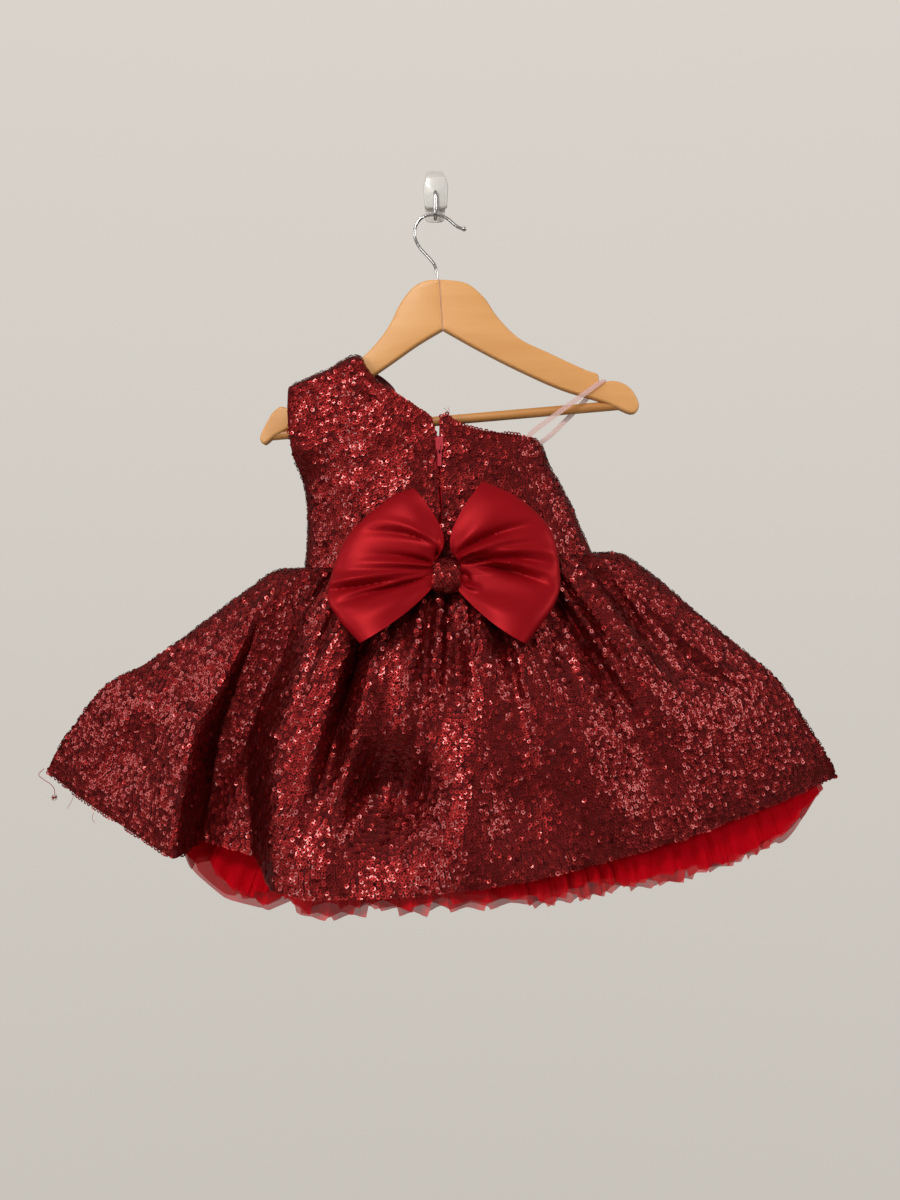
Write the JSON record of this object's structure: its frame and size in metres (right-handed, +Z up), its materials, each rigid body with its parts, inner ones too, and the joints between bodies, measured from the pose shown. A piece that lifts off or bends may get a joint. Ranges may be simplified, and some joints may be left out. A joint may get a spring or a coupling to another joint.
{
  "type": "toddler party dress on a wooden hanger with a wall hook",
  "caption": "One-shoulder sequin dress with a gathered skirt, tulle petticoat and back bow, hung on a wooden hanger from a small stick-on wall hook.",
  "frame": {"origin": "on the wall, in the back face of the wall hook that holds the hanger and the dress", "axes": "+X to the right as seen from the room, +Y into the wall, +Z up; the dress shows its back"},
  "size_m": [0.729, 0.1564, 0.6749],
  "materials": {
    "sequin_cloth": "overlapping dark red sequins on mesh",
    "lining": "smooth dark red lining",
    "satin": "smooth red satin",
    "tulle": "stiff bright red net",
    "zip_metal": "glossy pinkish red enamel",
    "clear_elastic": "clear pinkish elastic",
    "wood": "clear varnish",
    "bar_wood": "clear varnish",
    "chrome": "polished",
    "white_plastic": "glossy white"
  },
  "bodies": {
    "dress": {"bodice_back_left": "sequin_cloth", "bodice_back_right": "sequin_cloth", "bodice_front": "sequin_cloth", "front_neck_lining": "lining", "skirt_back": "sequin_cloth", "skirt_front": "sequin_cloth", "tulle_back": "tulle", "tulle_front": "tulle", "zip_tape_left": "satin", "zip_tape_right": "satin", "zip_slider": "zip_metal", "bow_loop_left": "satin", "bow_loop_right": "satin", "bow_knot": "sequin_cloth", "clear_strap": "clear_elastic", "hanger_arm_left": "wood", "hanger_arm_right": "wood", "hanger_bar": "bar_wood", "hanger_hook": "chrome", "wall_hook_plate": "white_plastic", "wall_hook_cover": "white_plastic", "wall_hook_wire": "chrome"},
    "zip_tab": {"zip_pull_tab": "zip_metal"}
  },
  "joints": [
    {"name": "zip_tab_hinge", "type": "hinge", "parent": "dress", "child": "zip_tab", "pos_m": [0.0047, -0.05109, -0.24777], "axis": [-1, 0, 0], "range_deg": [0, 165]}
  ]
}
